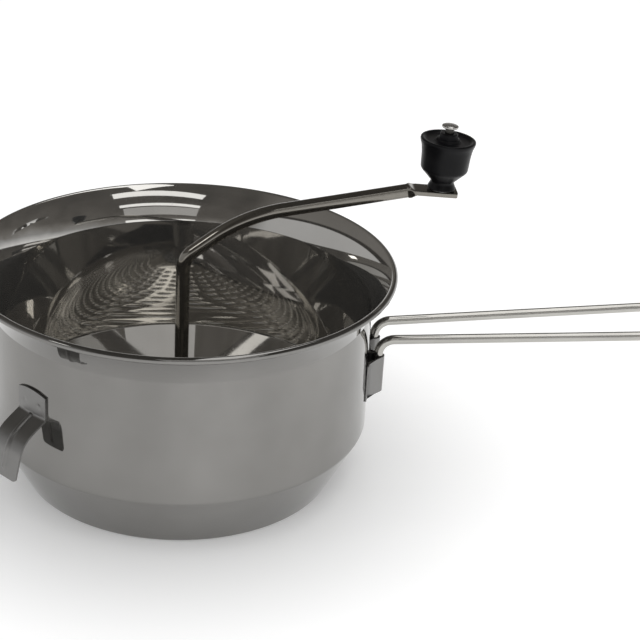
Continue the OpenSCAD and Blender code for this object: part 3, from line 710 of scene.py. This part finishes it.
knobShape = {"radius": 15.6, "lowRadius": 13.3, "footRadius": 8.1, "waistRadius": 6.3, "height": 29.2,
             "shoulder": 11.4, "waist": 4.2, "dish": 1.3, "bossHeight": 3.2, "bossRadius": 5.2, "bore": 2.58,
             "foot": 1.0, "headRadius": 4.7, "headHeight": 2.0, "bare": 3.2, "pinRadius": 2.5,
             "rivetRadius": 3.7, "rivetHeight": 1.2, "domeLow": 0.45, "domeHigh": 0.93, "sides": 128,
             "pinSides": 64}
headLow = sum(knobShape[part] for part in ("foot", "height", "bossHeight", "bare"))


def onPin(points):
    # leans the knob's own axis out over the flattened end
    p = np.asarray(points)
    x, z = onEye(p[:, 0], p[:, 2])
    return np.stack([x, p[:, 1], z], 1)


def smoothOutline(profile, arcPoints=8, keptShare=0.49, nearlyStraight=0.02):
    # a closed outline of (x, y, rounding), whose corners are rounded by arcs
    p = [np.asarray(q[:2], float) for q in profile]
    out = []
    for i, (corner, (_, _, radius)) in enumerate(zip(p, profile)):
        a, c = p[i - 1], p[(i + 1) % len(p)]
        u, v = (a - corner), (c - corner)
        lu, lv = np.linalg.norm(u), np.linalg.norm(v)
        u, v = u / lu, v / lv
        half = math.acos(np.clip(u @ v, -1, 1)) / 2
        if radius <= 0 or half > math.pi / 2 - nearlyStraight:
            out.append(corner[None])
            continue
        reach = min(radius / math.tan(half), keptShare * lu, keptShare * lv)
        r = reach * math.tan(half)
        centre = corner + (u + v) / np.linalg.norm(u + v) * r / math.sin(half)
        s, e = corner + u * reach - centre, corner + v * reach - centre
        sweepAngle = math.atan2(cross2(s, e), s @ e)
        t = np.linspace(0, sweepAngle, arcPoints)[:, None]
        out.append(centre + np.cos(t) * s + np.sin(t) * np.array([-s[1], s[0]]))
    return np.concatenate(out)


def knobMesh():
    s = knobShape
    top = s["height"]
    boss = top + s["bossHeight"]
    low, wide, stem = s["lowRadius"], s["radius"], s["bossRadius"]
    side = top - s["shoulder"]
    dish = top - s["dish"]
    # radius, height and rounding of each corner: foot and waist, bell, rim and dish, boss
    profile = [(s["bore"], 0, 0.2), (s["footRadius"], 0, 0.5), (s["footRadius"] - 0.3, 1.0, 1.0),
               (s["waistRadius"], s["waist"], 1.8),
               (low, s["shoulder"], 3.2), (low + 0.5, top - side / 2, 30.0),
               (low + 1.2, top - side / 4, 30.0), (wide - 0.1, top - 1.8, 8.0),
               (wide, top - 0.1, 0.9), (wide - 1.6, top, 1.2), (wide - 3.2, dish, 2.4),
               (stem + 2.8, dish, 1.0), (stem + 1.5, top - 1.1, 0.4), (stem + 1.2, top + 0.1, 0.35),
               (stem + 0.1, top + 0.3, 0.35), (stem - 0.3, boss, 0.5), (s["bore"], boss, 0.3)]
    points, faces = revolve(smoothOutline(profile) + [0, s["foot"]], s["sides"])
    return onPin(points), faces


makePiece("bellKnob", knobMesh(), "knob_body", blackPlastic, 60, ["knob"])


def pinMesh():
    # a riveted foot under the flattened end, the shank, and a head with a domed top
    s = knobShape
    under = -crankShape["eyeThick"]
    low = under - s["rivetHeight"]
    foot, head, tall = s["rivetRadius"], s["headRadius"], s["headHeight"]
    axis = 0.001  # a tiny flat closes the pin at both ends
    side = [(foot - 0.7, low + 0.06), (foot, low + 0.6), (foot, under), (s["pinRadius"], under),
            (s["pinRadius"], headLow), (head - 0.3, headLow), (head, headLow + 0.35),
            (head, headLow + tall * s["domeLow"])]
    dome = [(head * math.cos(a), headLow + tall * (s["domeLow"] + 0.5 * math.sin(a)))
            for a in np.linspace(0.15, math.pi / 2 - 0.05, 9)]
    outline = np.array([(axis, low)] + side + dome + [(axis, headLow + tall * s["domeHigh"])])
    sides, n = s["pinSides"], len(outline)
    faces = gridFaces(sides, n, True, False).tolist()
    faces += [[i * n for i in range(sides)], [i * n + n - 1 for i in range(sides)]]
    return onPin(spin(outline, sides).reshape(-1, 3)), faces


rivet = makePiece("knobRivet", pinMesh(), "crank_body", turnedSteel, 35, ["knob_pin"])
# the bare shank between the boss and the head is painted nearly black: painted shade under the pin's head
rivet.data.materials.append(paintedShadeSteel)
facePlace = np.array([face.center for face in rivet.data.polygons]) / mm
pinAxis, pinUp = onPin(np.array([[0, 0, 0], [0, 0, 1]]))
along = (facePlace - pinAxis) @ (pinUp - pinAxis)
away = np.linalg.norm(facePlace - pinAxis - along[:, None] * (pinUp - pinAxis), axis=1)
# the faces of the bare shank under the head, which get the painted shade
underHeadShade = (away < knobShape["headRadius"] - 0.4) & (along > 0) & (along < headLow + 0.1)
rivet.data.polygons.foreach_set("material_index", underHeadShade.astype(np.int32))
print("knob made")


# handle

handleShape = {"radius": 2.75, "reach": 295.0, "halfLow": 12.2, "halfFar": 20.0, "height": 86.0,
               "farHeight": 96.2, "bend": 9.4, "end": 17.0, "wallGap": 2.3, "bracketLow": 53.5,
               "bendSteps": 22, "sides": 40}
wireRing = wallRadius(handleShape["bracketLow"]) + handleShape["wallGap"] + handleShape["radius"]
wireX = math.sqrt(wireRing ** 2 - handleShape["halfLow"] ** 2)


def handleMesh():
    s = handleShape
    far = s["reach"] - s["radius"]
    low = s["bracketLow"] + 2
    path = roundPath([(wireX, -s["halfLow"], low), (wireX, -s["halfLow"], s["height"]),
                      (far, -s["halfFar"], s["farHeight"]), (far, s["halfFar"], s["farHeight"]),
                      (wireX, s["halfLow"], s["height"]), (wireX, s["halfLow"], low)],
                     [0, s["bend"], s["end"], s["end"], s["bend"], 0], bendSteps=s["bendSteps"])
    return sweep(path, roundSection(s["radius"], len(path), s["sides"]), (1, 0, 0))


makePiece("wireHandle", handleMesh(), "bowl_body", brightRod, 40, ["handle_loop"])


# bracket

bracketShape = {"top": 76.2, "thick": 0.9, "flange": 6.0, "flare": 42.0, "gap": 0.04, "edge": 0.15,
                "wallSteps": 8, "gripSteps": 26}


def bracketMesh():
    # one plan outline, mirrored about the handle's middle, raised from the lower to the upper edge
    s = bracketShape
    low = handleShape["bracketLow"]
    wall = wallRadius(low)
    roundR = handleShape["radius"] + s["gap"]
    centre = np.array([wireX, handleShape["halfLow"]])
    leaveA = 90 - s["flare"]
    leave = centre + roundR * unit(leaveA)
    leaveU = unit(leaveA + 90)
    along = leave @ leaveU
    land = leave - leaveU * (along + math.sqrt(along ** 2 - leave @ leave + wall ** 2))
    landA = math.degrees(math.atan2(land[1], land[0]))
    flangeA = math.degrees(s["flange"] / wall)
    innerA = math.degrees(math.asin((handleShape["halfLow"] - roundR) / wall))
    half = np.concatenate([arc((0, 0), wall, 0, innerA, s["wallSteps"]),
                           arc(centre, roundR, -90, leaveA, s["gripSteps"]),
                           arc((0, 0), wall, landA, landA + flangeA, s["wallSteps"])])
    full = np.concatenate([half[:0:-1] * [1, -1], half])
    outline = thicken(full, s["thick"])
    heights = np.array([low, low + s["edge"], s["top"] - s["edge"], s["top"]])
    grid = np.stack([np.column_stack([outline, np.full(len(outline), z)]) for z in heights])
    count = len(outline)
    faces = gridFaces(len(heights), count, False, True).tolist()
    # the two cut edges are strips between the strap's two skins
    m = count // 2
    for row in (0, len(heights) - 1):
        k = np.arange(m - 1)
        faces += np.stack([row * count + k, row * count + k + 1, row * count + count - 2 - k,
                           row * count + count - 1 - k], -1).tolist()
    return grid.reshape(-1, 3), faces


makePiece("handleStrap", bracketMesh(), "bowl_body", satin, 40, ["handle_bracket"])
print("handle made")


# hooks

hookShape = {"angle": 44.0, "width": 22.0, "thick": 1.1, "plate": 15.6, "arch": 2.0, "bend": 70.0,
             "knee": 15.5, "kneeDrop": 9.0, "tip": 21.0, "tipDrop": 29.4, "bendRadius": 3.0,
             "kneeRadius": 17.0, "corner": 2.2, "ribWidth": 4.2, "ribHeight": 1.1, "ribStart": 3.4,
             "ribPast": 1.5, "ribFade": 2.2, "flatten": 6.0, "flattenBelow": 7.0, "weldHeight": 77.3,
             "weldApart": 11.6, "weldDepth": 0.35, "weldSpread": 1.6, "acrossSteps": 80}


def hookMesh(side):
    # a strip: across is the width, along is the side outline, with a pressed rib as a raised cosine;
    # each line along the strip starts and ends where the rounded corners and the arched top cut it
    s = hookShape
    wall = wallRadius(s["bend"])
    top = np.array([wall, s["bend"] + s["plate"]])
    foot = np.array([wall, s["bend"]])
    knee = foot + [s["knee"], -s["kneeDrop"]]
    tip = foot + [s["tip"], -s["tipDrop"]]
    corners = [(*tip, 0), (*knee, 0), (*foot, 0), (*top, 0)]
    flat = roundPath(corners, [0, s["kneeRadius"], s["bendRadius"], 0], straightStep=0.5,
                     bendSteps=18)[:, :2]
    d = np.gradient(flat, axis=0)
    d /= np.linalg.norm(d, axis=1, keepdims=True)
    length = np.concatenate([[0], np.cumsum(np.linalg.norm(np.diff(flat, axis=0), axis=1))])
    half = s["width"] / 2
    across = half * np.sin(np.linspace(-math.pi / 2, math.pi / 2, s["acrossSteps"] + 1))
    pastCorner = np.clip(np.abs(across) - half + s["corner"], 0, s["corner"])
    begin = s["corner"] - np.sqrt(np.clip(s["corner"] ** 2 - pastCorner ** 2, 0, None))
    archR = (half ** 2 + s["arch"] ** 2) / (2 * s["arch"])
    finish = length[-1] - archR + np.sqrt(archR ** 2 - across ** 2)
    u = begin[None] + (finish - begin)[None] * (length / length[-1])[:, None]
    place = np.stack([np.interp(u, length, flat[:, i]) for i in (0, 1)], -1)
    out = np.stack([np.interp(u, length, d[:, 1]), -np.interp(u, length, d[:, 0])], -1)
    out /= np.linalg.norm(out, axis=-1, keepdims=True)
    ribEnd = length[-1] - s["plate"] + s["ribPast"]
    ends = np.clip((u - s["ribStart"]) / s["ribFade"], 0, 1) * np.clip((ribEnd - u) / s["ribFade"], 0, 1)
    bell = np.where(np.abs(across) < s["ribWidth"] / 2,
                    0.5 + 0.5 * np.cos(2 * math.pi * across / s["ribWidth"]), 0)
    rib = s["ribHeight"] * ends * ends * (3 - 2 * ends) * bell[None]
    # the plate follows the round wall, and the strip flattens below it
    plateShare = np.clip((u - (length[-1] - s["plate"] - s["flattenBelow"])) / s["flatten"], 0, 1)
    sag = (wall - np.sqrt(wall ** 2 - across ** 2))[None] * plateShare
    # spot welds are shallow dimples in the plate
    weldU = length[-1] - (s["bend"] + s["plate"] - s["weldHeight"])
    dents = sum(np.exp(-((u - weldU) ** 2 + (across[None] - x) ** 2) / s["weldSpread"])
                for x in (-s["weldApart"] / 2, s["weldApart"] / 2))
    skins = []
    for lift in (0.0, s["thick"]):
        shift = lift + rib - (s["weldDepth"] * dents if lift else 0)
        skins.append(np.stack([place[..., 0] + out[..., 0] * shift - sag,
                               np.broadcast_to(across[None], u.shape),
                               place[..., 1] + out[..., 1] * shift], -1))
    points, faces = closeSheet(*skins)
    return turned(points, 180 + side * s["angle"]), faces


for side, label in ((1, "front"), (-1, "rear")):
    makePiece(label + "PotHook", hookMesh(side), "bowl_body", satin, 50, ["hook_" + label])
print("hooks made")


# spring

springShape = {"wire": 0.6, "radius": 6.6, "turns": 2.5, "deadPitch": 1.26, "keep": 0.7, "steps": 216,
               "sides": 14}


def springMesh():
    # a helix: height grows by the dead pitch over the first and last turn, and evenly between them
    s = springShape
    low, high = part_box("tension_spring")[0].z / mm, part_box("tension_spring")[1].z / mm
    t = np.linspace(0, s["turns"] + 2, s["steps"] + 1)
    pitch = (high - low - 2 * s["wire"] - 2 * s["deadPitch"]) / s["turns"]
    dead = np.minimum(t, 1) + np.clip(t - s["turns"] - 1, 0, None)
    z = low + s["wire"] + s["deadPitch"] * dead + pitch * (np.clip(t, 1, s["turns"] + 1) - 1)
    a = 2 * math.pi * t
    path = np.column_stack([s["radius"] * np.cos(a), s["radius"] * np.sin(a), z])
    return sweep(path, roundSection(s["wire"], len(path), s["sides"]), (1, 0, 0)), low


coil, springLow = springMesh()
spring = makePiece("tensionSpring", coil, "crank_body", springSteel, 60,
                   ["tension_spring"])
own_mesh(spring)
print("spring made")


# CAD pieces that keep their shape

carried = {"hub_bush": turnedSteel, "blade_collar": bladeSteel, "knob_washer": platedSteel,
           "thrust_washer": platedSteel, "scraper_wire": springSteel, "spring_cup": platedSteel,
           "nut_washer": platedSteel, "wing_nut": platedSteel}
for node, material in carried.items():
    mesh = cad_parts[node].data
    mesh.materials.clear()
    mesh.materials.append(material)
print("CAD pieces finished")


# floor, light and camera

# a fade is from and to a distance, and from and to a strength; lean and cloud are gain and offset;
# a level's stops are the value along an axis and the strength there
studio = {"floorSize": 14.0, "floorColour": 0.86, "floorRough": 0.34,
          "glowFade": (0.08, 0.25, 0.16, 0.4), "mirrorFade": (0.09, 0.2, 0.22, 0.44),
          "mirrorLean": (1.2, 0.86), "leanFrom": -0.2, "leanTo": 0.03,
          "floorCloudScale": 5.0, "mirrorCloud": (1.2, 0.4), "fill": 0.7,
          "skyCloudScale": 3.5, "skyCloud": (1.4, 0.3), "cloudRise": 6.0,
          "sky": [(0.0, 1.0), (0.09, 0.95), (0.19, 0.32), (0.32, 0.12), (0.6, 0.08), (1.0, 0.06)],
          "wallAngle": 165.0, "wallSector": (6.0, 2.5), "wallEdge": (0.4, 0.217, 1.0),
          "wall": [(-1.0, 0.52), (0.0, 0.56), (0.006, 0.03), (0.04, 0.03), (0.055, 0.2), (1.0, 0.1)],
          "shelfAngle": 4.0, "shelfSector": (30.0, 27.0), "shelfEdge": (-0.46, 0.38, 1.0),
          "shelfThick": 0.022, "shelfScale": 16.0, "shelfFrom": 0.53,
          "warm": (1.0, 0.9, 0.78), "warmFade": 2.5}


def makeFloor():
    s = studio
    half = s["floorSize"] / 2
    mesh = bpy.data.meshes.new("floor")
    corners = [(-half, -half, 0), (half, -half, 0), (half, half, 0), (-half, half, 0)]
    mesh.from_pydata(corners, [], [(0, 1, 2, 3)])
    floor = bpy.data.objects.new("floor", mesh)
    scene.collection.objects.link(floor)
    material, tree, shader = newMaterial("paleFloor")
    shader.inputs["Base Color"].default_value = (*[s["floorColour"]] * 3, 1)
    shader.inputs["Roughness"].default_value = s["floorRough"]
    shader.inputs["Emission Color"].default_value = (1, 1, 1, 1)
    # the glow fades towards the object: a painted shadow round its foot, over its real shadow; mirrored rays
    # see it fade less, and unevenly: a painted reflection that the metal shows
    space = objectSpace(tree)
    away = vectorNode(tree, "LENGTH", space)
    glows = []
    # painted shadow: the glow is weaker near the object for straight rays
    for limits in (s["glowFade"], s["mirrorFade"]):
        fade = tree.nodes.new("ShaderNodeMapRange")
        fade.interpolation_type = "SMOOTHSTEP"
        for socket, value in zip(("From Min", "From Max", "To Min", "To Max"), limits):
            fade.inputs[socket].default_value = value
        tree.links.new(away.outputs["Value"], fade.inputs["Value"])
        glows.append(fade.outputs["Result"])
    cloud = noiseNode(tree, space, s["floorCloudScale"], detail=2.0)
    x = splitVector(tree, space)["X"]
    near = mathNode(tree, "MINIMUM", mathNode(tree, "MAXIMUM", x, s["leanFrom"]), s["leanTo"])
    # painted reflection: the glow that mirrored rays see is brighter to one side and clouded, so the metal
    # shows it unevenly
    lean = mathNode(tree, "MULTIPLY_ADD", near, *s["mirrorLean"])
    uneven = mathNode(tree, "MULTIPLY", mathNode(tree, "MULTIPLY", glows[1], lean),
                      mathNode(tree, "MULTIPLY_ADD", cloud, *s["mirrorCloud"]))
    rays = tree.nodes.new("ShaderNodeLightPath")
    straight = mathNode(tree, "MAXIMUM", rays.outputs["Is Camera Ray"], rays.outputs["Is Transmission Ray"])
    direct = mathNode(tree, "MULTIPLY", glows[0], straight)
    mirrored = mathNode(tree, "MULTIPLY", uneven, rays.outputs["Is Glossy Ray"])
    tree.links.new(mathNode(tree, "MAXIMUM", direct, mirrored), shader.inputs["Emission Strength"])
    mesh.materials.append(material)


def seenRays(tree):
    # 1 for the rays that show the background: straight, mirrored or passing through
    rays = tree.nodes.new("ShaderNodeLightPath")
    seen = mathNode(tree, "MAXIMUM", rays.outputs["Is Camera Ray"], rays.outputs["Is Glossy Ray"])
    return mathNode(tree, "MAXIMUM", seen, rays.outputs["Is Transmission Ray"])


def levelRamp(tree, value, stops):
    # the level at each value between -1 and 1, straight between the stops
    ramp = tree.nodes.new("ShaderNodeValToRGB")
    while len(ramp.color_ramp.elements) < len(stops):
        ramp.color_ramp.elements.new(0.5)
    for element, (place, level) in zip(ramp.color_ramp.elements, stops):
        element.position = 0.5 + 0.5 * place
        element.color = (level, level, level, 1)
    tree.links.new(mathNode(tree, "MULTIPLY_ADD", value, 0.5, 0.5), ramp.inputs["Fac"])
    return ramp.outputs["Color"]


def blend(tree, a, b, share):
    # a where share is 0, b where it is 1
    return mathNode(tree, "MULTIPLY_ADD", mathNode(tree, "SUBTRACT", b, a), share, a)


def makeWorld():
    # mirrored and straight rays see white at the horizon and a dim uneven ceiling, a pale wall with a
    # dark slanting edge on one side and a broken line of shelf edges on the other;
    # all other rays see an even fill
    s = studio
    world = bpy.data.worlds.new("studio")
    scene.world = world
    world.use_nodes = True
    tree = world.node_tree
    back = tree.nodes["Background"]
    coords = tree.nodes.new("ShaderNodeTexCoord")
    direction = coords.outputs["Generated"]
    z = splitVector(tree, direction)["Z"]

    def along(vector):
        dot = vectorNode(tree, "DOT_PRODUCT", direction)
        dot.inputs[1].default_value = vector
        return dot.outputs["Value"]

    def sector(angle, steep, narrow):
        # 1 towards the angle and 0 away from it
        return mathNode(tree, "MULTIPLY_ADD", along((*unit(angle), 0.0)), steep, -narrow, clamp=True)

    cloud = noiseNode(tree, direction, s["skyCloudScale"], rough=0.6)
    sky = levelRamp(tree, z, s["sky"])
    dim = mathNode(tree, "MULTIPLY", sky, mathNode(tree, "MULTIPLY_ADD", cloud, *s["skyCloud"]))
    high = mathNode(tree, "MULTIPLY", z, s["cloudRise"], clamp=True)
    shown = blend(tree, sky, dim, high)
    wall = levelRamp(tree, along(s["wallEdge"]), s["wall"])
    shown = blend(tree, shown, wall, sector(s["wallAngle"], *s["wallSector"]))
    onLine = mathNode(tree, "COMPARE", along(s["shelfEdge"]), 0.0, s["shelfThick"])
    gaps = noiseNode(tree, direction, s["shelfScale"], detail=1.0)
    pieces = mathNode(tree, "GREATER_THAN", gaps, s["shelfFrom"])
    onShelf = mathNode(tree, "MULTIPLY", onLine, sector(s["shelfAngle"], *s["shelfSector"]))
    shown = blend(tree, shown, pieces, onShelf)
    seen = seenRays(tree)
    plain = mathNode(tree, "MULTIPLY", mathNode(tree, "SUBTRACT", 1.0, seen), s["fill"])
    tree.links.new(mathNode(tree, "MULTIPLY_ADD", shown, seen, plain), back.inputs["Strength"])
    # the dim parts that are seen are warm, and the rest is white
    tint = mixNode(tree, s["warm"], (1, 1, 1))
    bright = mathNode(tree, "MULTIPLY", shown, s["warmFade"], clamp=True)
    white = mathNode(tree, "MAXIMUM", bright, mathNode(tree, "SUBTRACT", 1.0, seen))
    tree.links.new(white, tint.inputs["Factor"])
    tree.links.new(tint.outputs["Result"], back.inputs["Color"])


lampTarget = Vector((0, 0, 0.08))
# azimuth and elevation in degrees, distance, width and height in metres, power in watts
lamps = {"windowTop": (-72, 49, 1.6, (1.3, 0.18), 1.0),
         "windowMid": (-74, 35, 1.6, (1.3, 0.09), 0.5),
         "windowPane": (-75, 27.5, 1.6, (1.25, 0.26), 0.42),
         "windowLow": (-75, 16, 1.6, (1.25, 0.11), 0.55),
         "sideLight": (-158, 38, 1.6, (0.26, 0.16), 0.6),
         "softBox": (0, 75, 1.7, (2.1, 0.6), 6.6)}


def makeLamp(name, azimuth, elevation, distance, size, power):
    e = math.radians(elevation)
    place = lampTarget + distance * Vector((*(math.cos(e) * unit(azimuth)), math.sin(e)))
    data = bpy.data.lights.new(name, "AREA")
    data.shape = "RECTANGLE"
    data.size, data.size_y = size
    data.energy = power
    lamp = bpy.data.objects.new(name, data)
    lamp.location = place
    lamp.rotation_euler = (lampTarget - place).to_track_quat("-Z", "Y").to_euler()
    scene.collection.objects.link(lamp)


cameraShape = {"distance": 0.9, "elevation": 24.04, "yaw": 5.01, "pitch": -1.96, "roll": -1.21,
               "lens": 88.57, "sensor": 36.0, "rimHeight": 0.1265}


def makeCamera():
    # a camera aimed at the rim's middle, then turned by yaw, pitch and roll about its own axes
    s = cameraShape
    e = math.radians(s["elevation"])
    centre = Vector((0, 0, s["rimHeight"]))
    place = centre + s["distance"] * Vector((0, -math.cos(e), math.sin(e)))
    ahead = (centre - place).normalized()
    right = Vector((1, 0, 0))
    up = right.cross(ahead)
    base = Matrix((right, up, -ahead))
    own = (Matrix.Rotation(math.radians(s["roll"]), 3, "Z")
           @ Matrix.Rotation(-math.radians(s["pitch"]), 3, "X")
           @ Matrix.Rotation(math.radians(s["yaw"]), 3, "Y") @ base)
    data = bpy.data.cameras.new("view")
    data.sensor_width = s["sensor"]
    data.lens = s["lens"]
    data.clip_start = 0.01
    data.clip_end = 50
    camera = bpy.data.objects.new("view", data)
    camera.matrix_world = Matrix.Translation(place) @ own.transposed().to_4x4()
    scene.collection.objects.link(camera)
    scene.camera = camera


makeFloor()
makeWorld()
for label, values in lamps.items():
    makeLamp(label, *values)
makeCamera()
scene.view_settings.view_transform = "Standard"
print("studio made")
